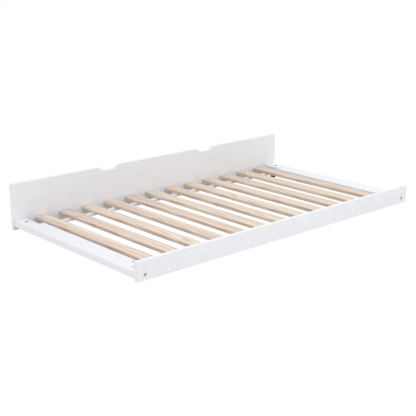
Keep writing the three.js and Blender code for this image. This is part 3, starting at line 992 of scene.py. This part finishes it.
def wheel_pockets(sizes, radius, half, bore):
    """Cutters for the pockets between the spokes, on both faces of a wheel."""
    hub, web = bore + 4.2 * MM, radius - 4.6 * MM
    depth, spoke_half, steps = 3.6 * MM, 1.1 * MM, 8
    cutters = []
    for side in (-1, 1):
        shape = bmesh.new()
        floor = side * (half - depth)
        for k in range(sizes.spokes):
            centre = 2 * math.pi * k / sizes.spokes
            rim = []
            for reach, direction in ((web, 1), (hub, -1)):
                spread = math.pi / sizes.spokes - spoke_half / reach
                turns = [centre + direction * spread * (2 * i / steps - 1) for i in range(steps + 1)]
                rim += [(reach * math.cos(turn), reach * math.sin(turn)) for turn in turns]
            prism_shape(rim, floor, floor + side * 2 * depth, "x", shape)
        cutters.append(object_of("pockets", shape))
    return cutters


def fork_outline(inner, outer, top, bottom, bend):
    """The folded fork seen along Y: one sheet that runs up, across and down again, with round bends."""

    def half(reach, roof, radius):
        """One side of the sheet from its foot to the end of its bend."""
        arc = [(reach - radius * (1 - math.cos(a)), roof - radius * (1 - math.sin(a))) for a in quarter(6)]
        return [(reach, bottom), *arc]

    outside = half(outer, top, bend + outer - inner)
    inside = half(inner, top - outer + inner, bend)
    outside += [(-x, z) for x, z in reversed(outside)]
    inside += [(-x, z) for x, z in reversed(inside)]
    return outside + inside[::-1]


def fork_profile(width, reach, axle_z, top):
    """The fork seen along X: wide at the plate, narrowing to a round end below the axle."""
    shoulder = top - 3 * MM
    steps = 16
    turns = [-i / steps * math.pi for i in range(steps + 1)]
    foot = [(reach * math.cos(turn), axle_z + reach * math.sin(turn)) for turn in turns]
    return [(width, top), (width, shoulder), *foot, (-width, shoulder), (-width, top)]


class TRUNDLE_OT_wheels(bpy.types.Operator):
    """Make the four wheels, their folded brackets, axle pins and bracket screws"""

    bl_idname = "trundle.wheels"
    bl_label = "Wheels"

    def execute(self, context):
        sizes = context.scene.trundle_sizes
        for corner in CORNERS:
            self.make_wheel(sizes, corner)
        place = middle("rear_right_wheel")
        spread = {"Length": 2 * place.x, "Depth": 2 * place.y}
        self.make_brackets(spread)
        self.make_axles(spread)
        self.make_screws(place)
        return {"FINISHED"}

    def make_wheel(self, sizes, corner):
        """One spoked nylon wheel, which turns with its own body."""
        low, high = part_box(f"{corner}_wheel")
        centre = (low + high) / 2
        radius, half, bore = (high.z - low.z) / 2, (high.x - low.x) / 2, 2.9 * MM
        made = object_of(f"{corner}_nylon_wheel", wheel_shape(radius, half, bore))
        carve(made, wheel_pockets(sizes, radius, half, bore))
        smooth(round_edges(made, 0.3 * MM, 2, 60), 50)
        made.data.transform(Matrix.Translation(centre))
        hand_over(made, "wheel_black", body=f"{corner}_wheel", nodes=[f"{corner}_wheel"])

    def make_brackets(self, spread):
        """Four pressed brackets: each a plate that reaches outwards, with a fork below its inner part."""
        wheel = middle("rear_right_wheel")
        low, high = (corner - Vector((wheel.x, wheel.y, 0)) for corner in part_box("rear_right_wheel_bracket"))
        outline = rounded_outline((low.x, low.y), (high.x, high.y), 5 * MM)
        plate = object_of("plate", prism_shape(outline, high.z - BRACKET_SHEET, high.z, "z"))
        made = round_edges(plate, 0.35 * MM, 2)
        inner, roof, far = 7.8 * MM, high.z - 0.95 * BRACKET_SHEET, 30 * MM
        shoulder_half, foot, bend, hole = 11 * MM, 6 * MM, 1.2 * MM, 2.8 * MM
        folded = fork_outline(inner, inner + BRACKET_SHEET, roof, low.z, bend)
        fork = object_of("fork", prism_shape(folded, -far, far, "y"))
        profile = fork_profile(shoulder_half, foot, wheel.z, roof + MM)
        trim = object_of("trim", prism_shape(profile, -far, far, "x"))
        combine(made, [combine(fork, [trim], "INTERSECT")], "UNION")
        carve(made, [rod("axle hole", hole, (-far, 0, wheel.z), (far, 0, wheel.z), 32)])
        fit(
            "wheel_brackets", "grid_of_fixings", smooth(made, 35), "bracket_black",
            at_corners("wheel_bracket"), Turn_left_column=1.0, **spread,
        )

    def make_axles(self, spread):
        """Four riveted axle pins with domed heads."""
        low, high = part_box("rear_right_wheel_axle")
        half, head = (high.x - low.x) / 2, (high.z - low.z) / 2
        thick, pin = 1.2 * MM, 2.5 * MM
        dome = [(head * math.sin(a), -half + thick * (1 - math.cos(a))) for a in quarter(6)]
        profile = mirrored(dome + [(pin, thick - half)])
        made = smooth(object_of("single_axle", turned_shape(profile, 32, "X")), 40)
        height = middle("rear_right_wheel").z
        fit("axle_pins", "grid_of_fixings", made, "zinc", at_corners("wheel_axle"), Height=height, **spread)

    def make_screws(self, place):
        """Four round-headed screws under each plate, in the part of it that lies under solid wood."""
        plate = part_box("rear_right_wheel_bracket")[1]
        radius, rise, shank = 2.9 * MM, 1.8 * MM, 1.6 * MM
        rim, inset, rows, recess = 0.2 * MM, 6.5 * MM, 20 * MM, 1.1 * MM
        profile = [(radius * math.sin(a), -rise * math.cos(a)) for a in quarter(5)]
        profile += [(radius, rim), (shank, rim), (shank, 6 * MM), (0, 7 * MM)]
        screw = object_of("round_screw", turned_shape(profile, 24))
        smooth(carve(screw, cross_recess(0.6 * radius, 0.17 * radius, -OVERCUT, recess - rise)), 40)
        four = repeated(
            "four_screws", "grid_of_fixings", screw, "zinc", Length=rows, Depth=2 * rows, Random_turn=1.0,
            Seed=2,
        )
        four.data.transform(Matrix.Translation((plate.x - place.x - inset - rows / 2, 0, 0)))
        fit(
            "bracket_screws", "grid_of_fixings", four, "zinc", Length=2 * place.x, Depth=2 * place.y,
            Height=plate.z - BRACKET_SHEET, Turn_left_column=1.0,
        )


class TRUNDLE_OT_dowels(bpy.types.Operator):
    """Give the hidden dowels their beech finish"""

    bl_idname = "trundle.dowels"
    bl_label = "Dowels"

    def execute(self, context):
        for name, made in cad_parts.items():
            if "dowel" in name:
                for index in range(max(1, len(made.material_slots))):
                    made.material_slots[index].material = finish("dowel_beech")
        return {"FINISHED"}


def area_lamp(name, place, aim, size, power, tint=(1.0, 1.0, 1.0)):
    """A large lamp that faces a point and is itself out of sight."""
    lamp = bpy.data.lights.new(name, "AREA")
    lamp.shape = "RECTANGLE"
    lamp.size, lamp.size_y = size
    lamp.energy = power
    lamp.color = tint
    made = bpy.data.objects.new(name, lamp)
    bpy.context.scene.collection.objects.link(made)
    made.visible_camera = False
    made.location = place
    made.rotation_euler = (Vector(aim) - Vector(place)).to_track_quat("-Z", "Y").to_euler()


class TRUNDLE_OT_stage(bpy.types.Operator):
    """Set up the pale floor, the even light and the camera"""

    bl_idname = "trundle.stage"
    bl_label = "Studio"

    def execute(self, context):
        studio = context.scene.trundle_studio
        self.lay_floor(context.scene.trundle_finishes, studio)
        self.light(context.scene, studio)
        self.set_camera(context.scene, studio)
        return {"FINISHED"}

    def lay_floor(self, finishes, studio):
        """One wide sheet just under the wheels."""
        shape = bmesh.new()
        bmesh.ops.create_grid(shape, x_segments=1, y_segments=1, size=FLOOR_HALF_WIDTH)
        floor = object_of("studio_floor", shape)
        floor.data.transform(Matrix.Translation((0, 0, cad_box[0].z - FLOOR_DROP)))
        floor.data.materials.append(floor_material(finishes, studio.glow))

    def light(self, scene, studio):
        """Even light from all round, one large lamp overhead, and a cooler one that faces the panel."""
        world = bpy.data.worlds.new("studio")
        world.use_nodes = True
        background = world.node_tree.nodes["Background"]
        fill(world.node_tree, background, {"Color": SKY_COLOUR, "Strength": studio.sky})
        scene.world = world
        area_lamp("overhead", (-0.3, 0.9, 3.4), (0, -0.1, 0), (4.0, 3.0), studio.key)
        cool = (0.80, 0.92, 1.0)
        area_lamp("panel fill", (0, 0.9, 1.35), (0, -0.6, 0.15), (2.4, 0.8), studio.fill, cool)
        scene.view_settings.view_transform = "Standard"

    def set_camera(self, scene, studio):
        """The camera looks over the rear rail towards the front panel."""
        camera = bpy.data.cameras.new("camera")
        camera.lens = studio.lens
        camera.clip_end = 100.0
        made = bpy.data.objects.new("camera", camera)
        scene.collection.objects.link(made)
        made.location = studio.place
        made.rotation_euler = (studio.tilt, 0.0, studio.turn)
        scene.camera = made


class TRUNDLE_PT_panel(bpy.types.Panel):
    """Lists the steps that build the bed"""

    bl_idname = "TRUNDLE_PT_panel"
    bl_label = "Trundle Bed"
    bl_space_type = "VIEW_3D"
    bl_region_type = "UI"
    bl_category = "Trundle Bed"

    def draw(self, context):
        for operator in OPERATORS:
            self.layout.operator(operator.bl_idname)
        for key in GROUPS:
            group = getattr(context.scene, key)
            column = self.layout.column()
            for name in group.__annotations__:
                column.prop(group, name)


OPERATORS = (
    TRUNDLE_OT_stage,
    TRUNDLE_OT_long_boards,
    TRUNDLE_OT_end_boards,
    TRUNDLE_OT_battens,
    TRUNDLE_OT_slats,
    TRUNDLE_OT_bolts,
    TRUNDLE_OT_slat_screws,
    TRUNDLE_OT_wheels,
    TRUNDLE_OT_dowels,
)
GROUPS = {
    "trundle_sizes": TRUNDLE_PG_sizes,
    "trundle_finishes": TRUNDLE_PG_finishes,
    "trundle_studio": TRUNDLE_PG_studio,
}
CLASSES = (*GROUPS.values(), *OPERATORS, TRUNDLE_PT_panel)


def register():
    """Adds the classes and the scene's settings."""
    for item in CLASSES:
        bpy.utils.register_class(item)
    for name, group in GROUPS.items():
        setattr(bpy.types.Scene, name, PointerProperty(type=group))


def unregister():
    """Takes the scene's settings and the classes away again."""
    for name in GROUPS:
        delattr(bpy.types.Scene, name)
    for item in reversed(CLASSES):
        bpy.utils.unregister_class(item)


def main():
    """Builds everything in order."""
    register()
    bpy.ops.trundle.stage()
    bpy.ops.trundle.long_boards()
    bpy.ops.trundle.end_boards()
    bpy.ops.trundle.battens()
    bpy.ops.trundle.slats()
    bpy.ops.trundle.bolts()
    bpy.ops.trundle.slat_screws()
    bpy.ops.trundle.wheels()
    bpy.ops.trundle.dowels()


if __name__ == "__main__":
    main()
